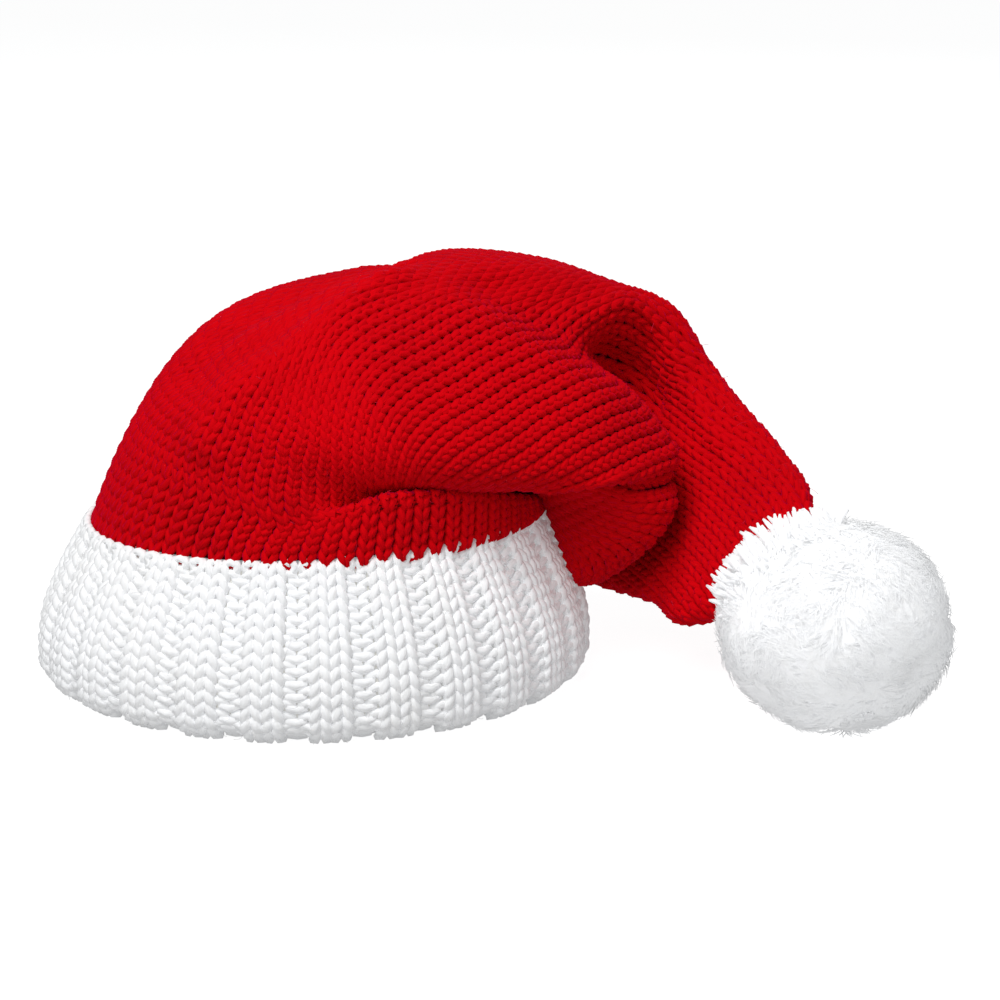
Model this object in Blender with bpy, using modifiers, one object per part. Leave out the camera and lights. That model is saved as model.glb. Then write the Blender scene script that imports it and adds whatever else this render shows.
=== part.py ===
"""Slouched knitted winter hat: a ribbed white cuff, a hollow red crown that folds over
to one side into a flat tail, and a white pompom lying beside it on the table."""

import math

import bmesh
import bpy
import numpy as np
from mathutils import Vector

# Sizes, in metres
CLEARANCE = 0.0003
DRAPE_CLEARANCE = 0.0015
POCKET_CLEARANCE = 0.0008
BORDER_RADIUS = 0.084
CUFF_HEIGHT = 0.061
CUFF_BELLY = 0.018
CUFF_WALL = 0.0085
RIB_DEPTH = 0.0012
KNIT_WALL = 0.003
CROWN_RISE = 0.058
CROWN_REACH = 0.168
TAIL_SWING = 0.052
CROWN_RADIUS = 0.083
POMPOM_WIDTH = 0.084
POMPOM_DEPTH = 0.080
POMPOM_HEIGHT = 0.0755
LOCK_RISE = 0.003
LOCK_SPAN = 0.011

# Counts and angles
RIBS = 26
WALES_PER_RIB = 3
LOCKS = 44
BORDER_TILT = 2.5
BEND_SIDE = -25
CROWN_STRIPS = 48
POMPOM_SUBDIVISIONS = 4

# The cuff's outer side from the table up: share of the belly that it stands out past
# the border, and share of the cuff's height.
CUFF_PROFILE = [
    # out   up
    (0.56, 0.00),
    (0.86, 0.06),
    (1.00, 0.22),
    (0.93, 0.40),
    (0.70, 0.60),
    (0.38, 0.80),
    (0.10, 0.95),
    (0.00, 1.00),
]

# Sections across the crown from the border to the end of the tail. The centre's place is
# in shares of the reach, the swing and the rise. Its height is over a line that falls from
# the border to the pompom. Angles are in degrees. The four radii are in shares of the
# crown's radius: towards the front, the back, the outside and the inside of the bend.
SECTION_COLUMNS = ("along", "across", "swing", "rise", "pitch", "yaw", "roll",
                   "front", "back", "outer", "inner", "square")
SECTIONS = [
    # along across swing  rise  pitch yaw roll front  back  outer  inner square
    (0.00, 0.018, 0.00, 0.000, -2.5, -25, 0, 1.012, 1.012, 1.012, 1.012, 2.0),
    (0.08, 0.028, 0.00, 0.330, 8, -25, 0, 1.005, 0.965, 0.852, 0.985, 2.0),
    (0.20, 0.097, 0.06, 0.705, 31, -25, 0, 0.965, 0.905, 0.712, 0.740, 2.0),
    (0.32, 0.216, 0.10, 0.890, 52, -25, 0, 0.940, 0.845, 0.562, 0.560, 2.1),
    (0.42, 0.347, 0.06, 0.985, 72, -25, 0, 0.845, 0.770, 0.516, 0.480, 2.1),
    (0.51, 0.505, -0.12, 0.935, 87, -27, -2, 0.625, 0.600, 0.490, 0.470, 2.1),
    (0.57, 0.602, -0.33, 0.760, 98, -24, -5, 0.300, 0.435, 0.530, 0.620, 2.0),
    (0.64, 0.682, -0.45, 0.540, 106, -22, -9, 0.190, 0.335, 0.612, 0.600, 2.0),
    (0.73, 0.752, -0.33, 0.370, 112, -34, -15, 0.170, 0.265, 0.525, 0.615, 2.0),
    (0.82, 0.816, -0.06, 0.235, 114, -45, -18, 0.155, 0.215, 0.490, 0.528, 2.0),
    (0.91, 0.893, 0.34, 0.135, 116, -50, -28, 0.145, 0.180, 0.425, 0.445, 2.0),
    (0.97, 0.958, 0.75, 0.045, 118, -54, -31, 0.125, 0.150, 0.350, 0.400, 2.0),
    (1.00, 1.000, 1.00, 0.000, 118, -54, -31, 0.090, 0.105, 0.210, 0.210, 2.0),
]

# Soft folds that push part of the crown out of line: where they peak along the crown, how
# far they reach before and after, the angle round the section where they peak and their
# half width in degrees, and the push in shares of the crown's radius.
FOLD_COLUMNS = ("name", "along", "before", "after", "round", "half", "dx", "dy", "dz")
FOLDS = [
    ("overhanging nose", 0.530, 0.300, 0.09, 350, 66, 0.700, -0.070, -0.190),
    ("under the nose", 0.520, 0.200, 0.07, 315, 40, 0.120, -0.050, 0.000),
    ("lower lobe", 0.560, 0.090, 0.09, 300, 52, 0.170, -0.280, -0.160),
    ("against the cuff", 0.555, 0.060, 0.07, 276, 40, -0.060, -0.060, -0.080),
    ("shaded valley", 0.650, 0.070, 0.16, 15, 58, -0.030, 0.150, -0.050),
    ("front panel", 0.090, 0.085, 0.06, 299, 48, 0.010, 0.000, 0.165),
    ("front panel's end", 0.095, 0.080, 0.06, 321, 25, 0.000, 0.000, 0.065),
    ("front crease", 0.150, 0.060, 0.08, 300, 42, -0.060, 0.090, 0.000),
]

# Ridges and troughs along a line on the crown: where the line starts and ends, how far it
# spreads to each side, and how high it stands. Both last are shares of the crown's radius.
WELT_COLUMNS = ("name", "along_1", "round_1", "along_2", "round_2", "spread", "height")
WELTS = [
    ("dome trough", 0.366, 116, 0.366, 92, 0.120, -0.060),
    ("dome trough", 0.366, 92, 0.200, 44, 0.130, -0.050),
    ("dome ridge", 0.400, 66, 0.300, 34, 0.145, 0.036),
    ("dome ridge", 0.300, 34, 0.170, 14, 0.170, 0.036),
    ("nose crest", 0.500, 42, 0.515, 18, 0.120, 0.036),
    ("nose trough", 0.500, 66, 0.545, 34, 0.130, -0.060),
    ("tail arch", 0.545, 36, 0.600, 66, 0.110, 0.042),
    ("tail arch", 0.600, 66, 0.700, 56, 0.110, 0.042),
    ("tail arch", 0.700, 56, 0.850, 44, 0.110, 0.030),
]
# Its length along the middle, and its usual radius past the border, in crown radii
LENGTH_RATIO = 4.1
USUAL_RATIO = 0.66

# Shares of the crown's length: where ridges begin, where the fold can touch the cuff, and
# where the pompom's pocket for the tail begins
WELT_START = 0.05
DRAPE_START = 0.12
POCKET_START = 0.72

# The pompom's middle past the tail's end, in shares of its own width and depth, and the
# height of the tail's end in shares of the pompom's
POMPOM_ACROSS = 0.22
POMPOM_FORWARD = 0.36
TAIL_END_UP = 0.66

# Rings along the crown: where each stretch ends and how many rings it has
RING_STRETCHES = [(0.02, 1), (0.44, 11), (0.66, 13), (1.00, 8)]


def rows(columns, table):
    """The table's columns by name."""
    return {name: [row[i] for row in table] for i, name in enumerate(columns)}


def glide(x, xs, ys):
    """A smooth curve through the points (xs, ys), read at x."""
    xs = np.asarray(xs, float)
    ys = np.asarray(ys, float)
    slopes = np.gradient(ys, xs)
    x = np.clip(x, xs[0], xs[-1])
    k = np.clip(np.searchsorted(xs, x, side="right") - 1, 0, len(xs) - 2)
    h = xs[k + 1] - xs[k]
    t = (x - xs[k]) / h
    start = (2 * t**3 - 3 * t**2 + 1) * ys[k] + (t**3 - 2 * t**2 + t) * h * slopes[k]
    return start + (3 * t**2 - 2 * t**3) * ys[k + 1] + (t**3 - t**2) * h * slopes[k + 1]


def ease(t):
    """From 0 to 1 with level ends."""
    t = np.clip(t, 0, 1)
    return t * t * (3 - 2 * t)


def turn_from(angle, middle):
    """The signed angle in degrees from middle to angle, both round a circle."""
    return (angle - middle + 180) % 360 - 180


def tail_end_height():
    """The tail's end meets the pompom above its middle."""
    return TAIL_END_UP * POMPOM_HEIGHT


def folded_crown(turn, along):
    """Points of the crown before its ridges; turn is in radians round each section."""
    turn, along = np.broadcast_arrays(np.asarray(turn, float), np.asarray(along, float))
    section = rows(SECTION_COLUMNS, SECTIONS)
    at = {name: glide(along, section["along"], section[name]) for name in SECTION_COLUMNS}
    pitch, yaw, roll = (np.radians(at[name]) for name in ("pitch", "yaw", "roll"))
    outward = np.stack([-np.cos(pitch) * np.cos(yaw), -np.cos(pitch) * np.sin(yaw),
                        np.sin(pitch)], -1)
    forward = np.stack([np.sin(yaw), -np.cos(yaw), np.zeros_like(yaw)], -1)
    cos_roll, sin_roll = np.cos(roll)[..., None], np.sin(roll)[..., None]
    out_axis = cos_roll * outward + sin_roll * forward
    front_axis = cos_roll * forward - sin_roll * outward
    border = CUFF_HEIGHT + CLEARANCE
    line = border + (tail_end_height() - border) * ease(along)
    centre = np.stack([at["across"] * CROWN_REACH, -at["swing"] * TAIL_SWING,
                       line + at["rise"] * CROWN_RISE], -1)
    front, side = np.cos(turn), np.sin(turn)
    power = 2 / at["square"]
    to_front = np.where(front > 0, at["front"], at["back"]) * np.sign(front) * np.abs(front)**power
    to_side = np.where(side > 0, at["outer"], at["inner"]) * np.sign(side) * np.abs(side)**power
    points = centre + CROWN_RADIUS * (to_front[..., None] * front_axis + to_side[..., None] * out_axis)
    for row in FOLDS:
        fold = dict(zip(FOLD_COLUMNS, row))
        past = along - fold["along"]
        lengthwise = np.where(past < 0, ease(1 + past / fold["before"]), ease(1 - past / fold["after"]))
        sideways = ease(1 - np.abs(turn_from(np.degrees(turn), fold["round"])) / fold["half"])
        push = CROWN_RADIUS * np.array([fold["dx"], fold["dy"], fold["dz"]])
        points = points + (lengthwise * sideways)[..., None] * push
    return points


def welt_heights(turn, along):
    """How far the ridges stand out and the troughs sink in, in metres."""
    total = np.zeros(turn.shape)
    for kind in dict.fromkeys(row[0] for row in WELTS):
        tallest = np.zeros(turn.shape)
        for row in WELTS:
            welt = dict(zip(WELT_COLUMNS, row))
            if welt["name"] != kind:
                continue
            x = (along - welt["along_1"]) * LENGTH_RATIO
            y = np.radians(turn_from(np.degrees(turn), welt["round_1"])) * USUAL_RATIO
            run_x = (welt["along_2"] - welt["along_1"]) * LENGTH_RATIO
            run_y = math.radians(welt["round_2"] - welt["round_1"]) * USUAL_RATIO
            t = np.clip((x * run_x + y * run_y) / (run_x**2 + run_y**2), 0, 1)
            distance = np.hypot(x - t * run_x, y - t * run_y) / welt["spread"]
            height = welt["height"] * np.exp(-1.5 * distance**2)
            tallest = np.where(np.abs(height) > np.abs(tallest), height, tallest)
        total = total + tallest
    return CROWN_RADIUS * total * ease(along / WELT_START)


def cuff_top(angle, radius=BORDER_RADIUS):
    """The height of the cuff's tilted upper edge, at an angle round the head."""
    slope = math.tan(math.radians(BORDER_TILT))
    return CUFF_HEIGHT + slope * radius * np.cos(angle - math.radians(BEND_SIDE))


def rest_on_cuff(points, normal, along):
    """Where the fold hangs over the cuff and beside it, it lies against it, with room for
    its wall where the wall is on the cuff's side."""
    moved = points.copy()
    x, y, z = points[..., 0], points[..., 1], points[..., 2]
    from_axis = np.hypot(x, y)
    top = cuff_top(np.arctan2(y, x))
    ups = [up for out, up in CUFF_PROFILE]
    radii = [BORDER_RADIUS + out * CUFF_BELLY for out, up in CUFF_PROFILE]
    facing = (x * normal[..., 0] + y * normal[..., 1]) / from_axis
    beside_gap = DRAPE_CLEARANCE + KNIT_WALL * np.clip(facing, 0, 1)
    above_gap = DRAPE_CLEARANCE + KNIT_WALL * np.clip(normal[..., 2], 0, 1)
    outward = np.interp(z / top, ups, radii) + beside_gap - from_axis
    upward = top + above_gap - z
    inside = (along > DRAPE_START) & (outward > 0) & (upward > 0)
    beside = inside & (outward < upward)
    above = inside & ~beside
    scale = np.where(beside, 1 + outward / from_axis, 1.0)
    moved[..., 0] = x * scale
    moved[..., 1] = y * scale
    moved[..., 2] = z + np.where(above, upward, 0.0)
    return moved


def crown_surface(turn, along, lift=0.0):
    """Points of the crown's outer face, lifted off it by a distance."""
    turn, along = np.broadcast_arrays(np.asarray(turn, float), np.asarray(along, float))
    step = 1e-3
    across = folded_crown(turn + step, along) - folded_crown(turn - step, along)
    lengthwise = folded_crown(turn, along + step) - folded_crown(turn, along - step)
    normal = np.cross(lengthwise, across)
    normal = normal / (np.linalg.norm(normal, axis=-1, keepdims=True) + 1e-12)
    rise = welt_heights(turn, along) + lift
    return rest_on_cuff(folded_crown(turn, along) + rise[..., None] * normal, normal, along)


def ring_places(first=0.0):
    """Where the rings lie along the crown, closer together at the nose."""
    places = [0.0]
    for end, count in RING_STRETCHES:
        start = places[-1]
        places += [start + (end - start) * (i + 1) / count for i in range(count)]
    return np.array([place for place in places if place >= first])


def object_in(collection, name, mesh, colour, roughness):
    """An object with its own material."""
    material = bpy.data.materials.new(name + "_yarn")
    material.use_nodes = True
    shader = material.node_tree.nodes["Principled BSDF"]
    shader.inputs["Base Color"].default_value = (*colour, 1)
    shader.inputs["Roughness"].default_value = roughness
    shader.inputs["Metallic"].default_value = 0
    mesh.materials.append(material)
    obj = bpy.data.objects.new(name, mesh)
    collection.objects.link(obj)
    return obj


def lofted(name, rings, capped_start, capped_end, closed_along=False):
    """A mesh through rings of points, each ring closed."""
    bm = bmesh.new()
    loops = [[bm.verts.new(point) for point in ring] for ring in rings]
    pairs = list(zip(loops, loops[1:]))
    if closed_along:
        pairs.append((loops[-1], loops[0]))
    for lower, upper in pairs:
        for i in range(len(lower)):
            j = (i + 1) % len(lower)
            bm.faces.new((lower[i], lower[j], upper[j], upper[i]))
    if capped_start:
        bm.faces.new(loops[0][::-1])
    if capped_end:
        bm.faces.new(loops[-1])
    bmesh.ops.triangulate(bm, faces=[face for face in bm.faces if len(face.verts) > 4])
    bmesh.ops.recalc_face_normals(bm, faces=bm.faces)
    mesh = bpy.data.meshes.new(name)
    bm.to_mesh(mesh)
    bm.free()
    return mesh


def make_cuff(collection):
    """The ribbed band: every third column of stitches is sunk between two raised ones."""
    steps = RIBS * WALES_PER_RIB * 2
    rings = []
    for i in range(steps):
        angle = 2 * math.pi * i / steps
        sunk = RIB_DEPTH if (i // 2) % WALES_PER_RIB == 0 else 0.0
        outer = []
        inner = []
        for out, up in CUFF_PROFILE:
            radius = BORDER_RADIUS + out * CUFF_BELLY
            rib = sunk * math.sin(math.pi * min(up * 1.1, 1))
            height = up * cuff_top(angle, radius)
            outer.append((radius - rib, height))
            inner.append((radius - CUFF_WALL, height))
        # The inner side keeps the lowest point and every other one above it
        inner = inner[:1] + inner[3::2]
        profile = outer + inner[::-1]
        rings.append([Vector((r * math.cos(angle), r * math.sin(angle), z)) for r, z in profile])
    mesh = lofted("cuff", rings, False, False, closed_along=True)
    return object_in(collection, "cuff", mesh, (0.86, 0.86, 0.88), 0.9)


def crown_rings(first, lift=0.0):
    """Rings of points on the crown's outer face, from a place along it to its end."""
    turns = np.linspace(0, 2 * np.pi, CROWN_STRIPS, endpoint=False)[:, None]
    places = ring_places(first)[None, :]
    points = crown_surface(turns, places, lift)
    return [points[:, k] for k in range(points.shape[1])]


def make_crown(collection):
    """The red part: one knitted wall, open at the head and closed at the tail's end."""
    rings = crown_rings(0.0)
    # A short straight collar on the cuff, so that the wall's edge lies flat on it
    tilt = math.radians(BORDER_TILT)
    side = math.radians(BEND_SIDE)
    up = np.array([-math.sin(tilt) * math.cos(side), -math.sin(tilt) * math.sin(side), math.cos(tilt)])
    seat = np.array([0, 0, CUFF_HEIGHT + 2 * CLEARANCE])
    depth = (rings[1] - seat) @ up
    rings[0] = rings[1] - depth[:, None] * up
    mesh = lofted("crown", rings, False, True)
    obj = object_in(collection, "crown", mesh, (0.62, 0.004, 0.012), 0.9)
    wall = obj.modifiers.new("knitted wall", "SOLIDIFY")
    wall.thickness = KNIT_WALL
    wall.offset = -1
    wall.use_even_offset = False
    return obj


def pompom_centre():
    """Beside the tail's end, on the table."""
    return Vector((CROWN_REACH + POMPOM_ACROSS * POMPOM_WIDTH,
                   -TAIL_SWING - POMPOM_FORWARD * POMPOM_DEPTH, POMPOM_HEIGHT / 2))


def make_pompom(collection, cutters):
    """A ball of yarn locks that are joined at its middle, with a pocket for the tail's end."""
    bm = bmesh.new()
    bmesh.ops.create_icosphere(bm, subdivisions=POMPOM_SUBDIVISIONS, radius=1.0)
    golden = math.pi * (3 - math.sqrt(5))
    tips = []
    for i in range(LOCKS):
        z = 1 - 2 * (i + 0.5) / LOCKS
        r = math.sqrt(1 - z * z)
        tips.append(Vector((r * math.cos(golden * i), r * math.sin(golden * i), z)))
    centre = pompom_centre()
    half = Vector((POMPOM_WIDTH / 2, POMPOM_DEPTH / 2, POMPOM_HEIGHT / 2))
    reach = LOCK_SPAN / half.x
    for vert in bm.verts:
        nearest = min((vert.co - tip).length for tip in tips)
        bulge = LOCK_RISE * (1 - min(nearest / reach, 1) ** 2)
        direction = vert.co.normalized()
        place = Vector(direction[k] * (half[k] + bulge) for k in range(3)) + centre
        place.z = max(place.z, 0.0)
        vert.co = place
    mesh = bpy.data.meshes.new("pompom")
    bm.to_mesh(mesh)
    bm.free()
    obj = object_in(collection, "pompom", mesh, (0.9, 0.9, 0.92), 0.95)
    rings = crown_rings(POCKET_START, POCKET_CLEARANCE)
    way = rings[-1].mean(axis=0) - rings[-2].mean(axis=0)
    rings[-1] = rings[-1] + POCKET_CLEARANCE * way / np.linalg.norm(way)
    tail = lofted("tail_pocket", rings, True, True)
    cutter = bpy.data.objects.new("tail_pocket", tail)
    cutter.hide_render = True
    cutter.display_type = "WIRE"
    cutters.objects.link(cutter)
    pocket = obj.modifiers.new("pocket for the tail", "BOOLEAN")
    pocket.operation = "DIFFERENCE"
    pocket.object = cutter
    return obj


def centre_on_table(parts, cutters):
    """Moves everything so that the box round the hat is centred over the origin."""
    bpy.context.view_layer.update()
    graph = bpy.context.evaluated_depsgraph_get()
    corners = []
    for part in parts:
        evaluated = part.evaluated_get(graph)
        corners += [evaluated.matrix_world @ Vector(corner) for corner in evaluated.bound_box]
    low = [min(corner[k] for corner in corners) for k in range(2)]
    high = [max(corner[k] for corner in corners) for k in range(2)]
    shift = Vector((-(low[0] + high[0]) / 2, -(low[1] + high[1]) / 2, 0))
    for obj in list(parts) + list(cutters):
        obj.location = obj.location + shift


def main():
    for obj in list(bpy.data.objects):
        bpy.data.objects.remove(obj, do_unlink=True)
    hat = bpy.data.collections.new("santa_hat")
    guides = bpy.data.collections.new("santa_hat_cutters")
    bpy.context.scene.collection.children.link(hat)
    bpy.context.scene.collection.children.link(guides)
    parts = [make_cuff(hat), make_crown(hat), make_pompom(hat, guides)]
    centre_on_table(parts, guides.objects)


main()
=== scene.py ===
import math

import bmesh
import bpy
import numpy as np
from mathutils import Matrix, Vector


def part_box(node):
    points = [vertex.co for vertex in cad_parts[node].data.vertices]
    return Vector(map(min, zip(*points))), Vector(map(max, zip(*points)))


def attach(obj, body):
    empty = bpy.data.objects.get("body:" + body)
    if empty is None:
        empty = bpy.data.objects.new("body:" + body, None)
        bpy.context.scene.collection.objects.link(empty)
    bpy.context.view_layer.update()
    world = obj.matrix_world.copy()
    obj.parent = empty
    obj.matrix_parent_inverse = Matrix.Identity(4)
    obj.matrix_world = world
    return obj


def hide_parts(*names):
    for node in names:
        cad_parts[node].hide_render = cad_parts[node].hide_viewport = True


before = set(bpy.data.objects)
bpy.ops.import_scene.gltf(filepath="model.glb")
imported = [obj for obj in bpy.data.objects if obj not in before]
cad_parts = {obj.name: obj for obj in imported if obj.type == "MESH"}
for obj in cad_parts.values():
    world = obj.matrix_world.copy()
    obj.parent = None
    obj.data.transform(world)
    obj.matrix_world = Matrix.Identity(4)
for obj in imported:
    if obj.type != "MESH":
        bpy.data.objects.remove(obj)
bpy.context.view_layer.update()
cuff_low, cuff_high = (Vector(corner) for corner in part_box("cuff"))
# The middle of the cuff on the table; the hat's own measures start from here
head_middle = np.array([(cuff_low.x + cuff_high.x) / 2, (cuff_low.y + cuff_high.y) / 2, 0.0])


# The cuff is a wide band of chunky white acrylic yarn, knitted in a rib of two knit columns and
# one purl column. It bellies out under the crown and rests on its folded lower edge. Each row
# is one length of yarn that loops through the row before it.
border_radius = 0.084
cuff_height = 0.061
cuff_belly = 0.018
cuff_wall = 0.0085
border_tilt = 2.5
bend_side = -25.0
columns = 78
columns_per_rib = 3
cuff_rows = 15
white_yarn_radius = 0.0015
white_leg_slant = 0.215
white_leg_height = 0.84
white_ply_length = 0.0065
cuff_loop_depth = 0.0013
purl_sink = 0.0022
purl_spread = 0.07
cuff_set_in = 0.0009
belly_set_in = 0.0012
last_row_share = 0.75
border_start = -33.0
cuff_profile = [
    # out   up
    (0.56, 0.00),
    (0.86, 0.06),
    (1.00, 0.22),
    (0.93, 0.40),
    (0.70, 0.60),
    (0.38, 0.80),
    (0.10, 0.95),
    (0.00, 1.00),
]
profile_outs = [out for out, up in cuff_profile]
profile_ups = [up for out, up in cuff_profile]
white_wool = (0.85, 0.855, 0.865)
white_shade = (0.81, 0.805, 0.79)
white_sheen = (0.95, 0.97, 1.0)
glow_tint = (0.97, 0.985, 1.0, 1)


def glide(x, xs, ys):
    """A smooth curve through the points (xs, ys), read at x."""
    xs = np.asarray(xs, float)
    ys = np.asarray(ys, float)
    slopes = np.gradient(ys, xs)
    x = np.clip(x, xs[0], xs[-1])
    k = np.clip(np.searchsorted(xs, x, side="right") - 1, 0, len(xs) - 2)
    h = xs[k + 1] - xs[k]
    t = (x - xs[k]) / h
    start = (2 * t**3 - 3 * t**2 + 1) * ys[k] + (t**3 - 2 * t**2 + t) * h * slopes[k]
    return start + (3 * t**2 - 2 * t**3) * ys[k + 1] + (t**3 - t**2) * h * slopes[k + 1]


def ease(t):
    """From 0 to 1 with level ends."""
    t = np.clip(t, 0, 1)
    return t * t * (3 - 2 * t)


def unit(vectors):
    return vectors / (np.linalg.norm(vectors, axis=-1, keepdims=True) + 1e-12)


def cuff_top(angle, radius=border_radius):
    """The height of the cuff's upper edge, which is tilted, at an angle round the head."""
    slope = math.tan(math.radians(border_tilt))
    return cuff_height + slope * radius * np.cos(angle - math.radians(bend_side))


def column_angle(column):
    """The angle round the head at a place counted in columns of stitches."""
    return math.radians(border_start) - 2 * math.pi * column / columns


def loop_path(first, count, width, height, depth, face, rng, uneven, places, closer=0.0):
    """The middle line of one row of loops, in columns, rows and metres out of the fabric.
    Legs lie in front and heads behind where face is 1, and the other way where it is -1."""
    turn = np.radians(np.array(places, float))
    t = (np.arange(count)[:, None] * 2 * np.pi + turn[None, :]).ravel()
    t = np.append(t, count * 2 * np.pi)
    stitch = np.minimum((t / (2 * np.pi)).astype(int), count - 1)
    part = t / (2 * np.pi) - stitch
    face = np.asarray(face, float)
    before = face[np.maximum(stitch - 1, 0)]
    after = face[np.minimum(stitch + 1, count - 1)]
    near_start = np.clip(1 - part * 5, 0, 1) * 0.5
    near_end = np.clip(1 - (1 - part) * 5, 0, 1) * 0.5
    side = face[stitch] * (1 - near_start - near_end) + before * near_start + after * near_end
    wobble = rng.normal(size=(4, count)) * uneven
    swing = width * (1 + wobble[0][stitch]) * np.sin(2 * t) + closer * np.sin(t)
    along_row = first + t / (2 * np.pi) + swing
    along_row = along_row + wobble[1][stitch] * 0.35 * np.sin(t / 2)**2
    up = -height * np.cos(t) + wobble[2][stitch] * 0.6 * np.sin(t / 2)**2
    out = -depth * side * np.cos(2 * t) + wobble[3][stitch] * depth * np.sin(t / 2)**2
    return along_row, up, out


def turned_outward(mesh):
    """Turns the mesh's faces so that they point outwards."""
    bm = bmesh.new()
    bm.from_mesh(mesh)
    bmesh.ops.recalc_face_normals(bm, faces=bm.faces)
    bm.to_mesh(mesh)
    bm.free()


def yarn_mesh(name, strands, sides):
    """Tubes of yarn. Each strand is its points, the fabric's outward direction at them, the
    yarn's radius at them, and whether its end joins its start."""
    points, faces, corners, tubes = [], [], [], []
    start = 0
    spin = np.arange(sides) * 2 * np.pi / sides
    for path, outward, radius, joined in strands:
        count = len(path)
        if joined:
            tangent = unit(np.roll(path, -1, 0) - np.roll(path, 1, 0))
        else:
            tangent = unit(np.gradient(path, axis=0))
        side = unit(np.cross(tangent, outward))
        up = np.cross(side, tangent)
        ring = path[:, None] + np.asarray(radius).reshape(-1, 1, 1) * (
            np.cos(spin)[None, :, None] * side[:, None] + np.sin(spin)[None, :, None] * up[:, None])
        points.append(ring.reshape(-1, 3))
        step = np.linalg.norm(np.roll(path, -1, 0) - path, axis=1)
        run = np.concatenate([[0.0], np.cumsum(step)])
        spans = count if joined else count - 1
        k = np.arange(spans)[:, None]
        j = np.arange(sides)[None, :]
        k2 = (k + 1) % count
        j2 = (j + 1) % sides
        quads = np.stack([k * sides + j, k * sides + j2, k2 * sides + j2, k2 * sides + j], -1)
        faces.append(start + quads.reshape(-1, 4))
        u0 = np.broadcast_to(run[:spans, None], (spans, sides))
        u1 = np.broadcast_to(run[1:spans + 1, None], (spans, sides))
        v0 = np.broadcast_to(np.arange(sides) / sides, (spans, sides))
        v1 = v0 + 1 / sides
        corners.append(np.stack([u0, v0, u0, v1, u1, v1, u1, v0], -1).reshape(-1, 2))
        tubes.append((start, count, joined))
        start += count * sides
    points = np.concatenate(points)
    # Nothing goes below the table
    points[:, 2] = np.maximum(points[:, 2], 0.0)
    faces = np.concatenate(faces)
    corners = np.concatenate(corners)
    caps = []
    for first, count, joined in tubes:
        if not joined:
            caps.append(list(range(first, first + sides))[::-1])
            last = first + (count - 1) * sides
            caps.append(list(range(last, last + sides)))
    mesh = bpy.data.meshes.new(name)
    mesh.vertices.add(len(points))
    mesh.vertices.foreach_set("co", points.astype(np.float32).ravel())
    cap_sizes = np.array([len(cap) for cap in caps], int)
    cap_corners = np.array([corner for cap in caps for corner in cap], int)
    sizes = np.concatenate([np.full(len(faces), 4), cap_sizes]).astype(np.int32)
    loops = np.concatenate([faces.ravel(), cap_corners]).astype(np.int32)
    mesh.loops.add(len(loops))
    mesh.loops.foreach_set("vertex_index", loops)
    mesh.polygons.add(len(sizes))
    loop_starts = np.concatenate([[0], np.cumsum(sizes)[:-1]]).astype(np.int32)
    mesh.polygons.foreach_set("loop_start", loop_starts)
    mesh.update(calc_edges=True)
    uv = mesh.uv_layers.new(name="yarn")
    flat = np.concatenate([corners, np.zeros((len(loops) - len(corners), 2))])
    uv.data.foreach_set("uv", flat.astype(np.float32).ravel())
    mesh.polygons.foreach_set("use_smooth", np.ones(len(sizes), bool))
    mesh.update()
    mesh.validate()
    turned_outward(mesh)
    return mesh


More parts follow.
